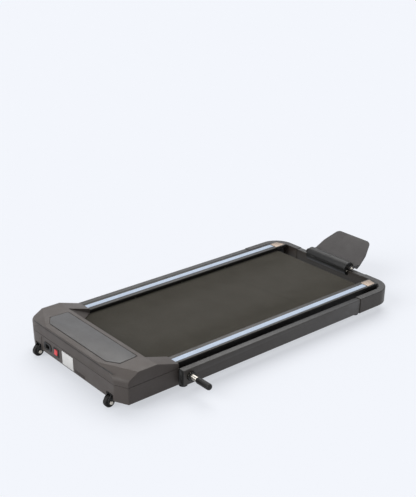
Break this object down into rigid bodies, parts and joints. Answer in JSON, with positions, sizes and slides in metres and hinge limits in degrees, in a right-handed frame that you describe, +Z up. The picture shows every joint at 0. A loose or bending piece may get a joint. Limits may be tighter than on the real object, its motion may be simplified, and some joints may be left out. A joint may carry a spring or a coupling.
{
  "type": "treadmill",
  "caption": "Flat walking treadmill with a motor hood, transport wheels, pale-striped side rails and a fold-down handrail with a tablet plate.",
  "frame": {"origin": "middle of the object's footprint, on the surface it stands on", "axes": "+Z up, +Y from the motor hood to the rear along the running direction, +X to the side of the clamp handle"},
  "size_m": [0.7894, 1.475, 0.179],
  "materials": {
    "hood_plastic": "fine moulded texture, dark warm grey",
    "panel_plastic": "smooth satin inset",
    "black_plastic": "matt",
    "rail_aluminium": "black powder coat",
    "stripe_blue": "fine ridged pale blue",
    "cap_silver": "satin",
    "belt_rubber": "fine woven tread",
    "drive_rubber": "matt",
    "deck_wood": "bare board",
    "frame_steel": "dark powder coat",
    "elbow_plastic": "fine moulded texture",
    "roller_steel": "turned",
    "bright_screws": "zinc",
    "chrome": "polished",
    "plate_plastic": "fine moulded texture",
    "wheel_nylon": "satin",
    "switch_red": "gloss",
    "label_white": "blank film",
    "board_green": "satin",
    "sink_aluminium": "extruded"
  },
  "bodies": {
    "root": {"frame_rail_right": "frame_steel", "frame_rail_left": "frame_steel", "cross_members": "frame_steel", "motor_plate": "frame_steel", "deck_board": "deck_wood", "deck_cushions": "drive_rubber", "deck_screws": "bright_screws", "running_belt": "belt_rubber", "front_axle": "roller_steel", "rear_axle": "roller_steel", "tension_bolts": "bright_screws", "motor_can": "frame_steel", "motor_bracket": "black_plastic", "drive_belt": "drive_rubber", "control_board": "board_green", "control_heatsink": "sink_aluminium", "side_rail_right": "rail_aluminium", "side_rail_left": "rail_aluminium", "side_stripe_right": "stripe_blue", "side_stripe_left": "stripe_blue", "rear_cap_right": "black_plastic", "rear_cap_left": "black_plastic", "cap_plate_right": "cap_silver", "cap_plate_left": "cap_silver", "hood_cover": "hood_plastic", "hood_panel": "panel_plastic", "hood_base": "hood_plastic", "hood_screws": "bright_screws", "power_inlet": "black_plastic", "switch_housing": "black_plastic", "rating_label": "label_white", "wheel_bracket_right": "black_plastic", "wheel_bracket_left": "black_plastic", "wheel_bolts": "bright_screws", "feet": "drive_rubber", "pivot_bosses": "frame_steel", "pivot_bolt_left": "bright_screws"},
    "handrail": {"upright_tube_right": "frame_steel", "upright_tube_left": "frame_steel", "tube_end_caps": "black_plastic", "elbow_right": "elbow_plastic", "elbow_left": "elbow_plastic", "crossbar": "frame_steel", "holder_body": "black_plastic", "holder_screws": "bright_screws"},
    "tablet": {"tablet_plate": "plate_plastic"},
    "clamp": {"clamp_barrel": "chrome", "clamp_grip": "black_plastic"},
    "front_drum": {"front_roller": "roller_steel", "front_bearings": "roller_steel", "front_pulley": "roller_steel"},
    "rear_drum": {"rear_roller": "roller_steel", "rear_bearings": "roller_steel"},
    "motor_rotor": {"motor_shaft": "roller_steel", "motor_pulley": "roller_steel", "flywheel": "roller_steel"},
    "wheel_pair_right": {"wheel_right": "wheel_nylon"},
    "wheel_pair_left": {"wheel_left": "wheel_nylon"},
    "rocker": {"switch_rocker": "switch_red"}
  },
  "joints": [
    {"name": "handrail_fold", "type": "hinge", "parent": "root", "child": "handrail", "pos_m": [-0.04835, -0.44946, 0.068], "axis": [1, 0, 0], "range_deg": [0, 90]},
    {"name": "tablet_tilt", "type": "hinge", "parent": "handrail", "child": "tablet", "pos_m": [-0.04835, 0.58354, 0.11], "axis": [1, 0, 0], "range_deg": [-20, 60]},
    {"name": "clamp_turn", "type": "hinge", "parent": "root", "child": "clamp", "pos_m": [0.34365, -0.44946, 0.068], "axis": [1, 0, 0], "range_deg": [0, 720]},
    {"name": "front_drum_spin", "type": "hinge", "parent": "root", "child": "front_drum", "pos_m": [-0.04835, -0.59846, 0.0687], "axis": [1, 0, 0], "continuous": true},
    {"name": "rear_drum_spin", "type": "hinge", "parent": "root", "child": "rear_drum", "pos_m": [-0.04835, 0.50654, 0.0687], "axis": [1, 0, 0], "continuous": true},
    {"name": "motor_spin", "type": "hinge", "parent": "root", "child": "motor_rotor", "pos_m": [0.11165, -0.67046, 0.086], "axis": [1, 0, 0], "continuous": true},
    {"name": "wheel_right_spin", "type": "hinge", "parent": "root", "child": "wheel_pair_right", "pos_m": [0.18265, -0.71746, 0.02], "axis": [1, 0, 0], "continuous": true},
    {"name": "wheel_left_spin", "type": "hinge", "parent": "root", "child": "wheel_pair_left", "pos_m": [-0.27935, -0.71746, 0.02], "axis": [1, 0, 0], "continuous": true},
    {"name": "switch_rock", "type": "hinge", "parent": "root", "child": "rocker", "pos_m": [-0.15485, -0.71026, 0.062], "axis": [1, 0, 0], "range_deg": [0, 16]}
  ],
  "couplings": [
    {"joint": "rear_drum_spin", "follows": "front_drum_spin", "ratio": 1},
    {"joint": "motor_spin", "follows": "front_drum_spin", "ratio": 1.625}
  ]
}
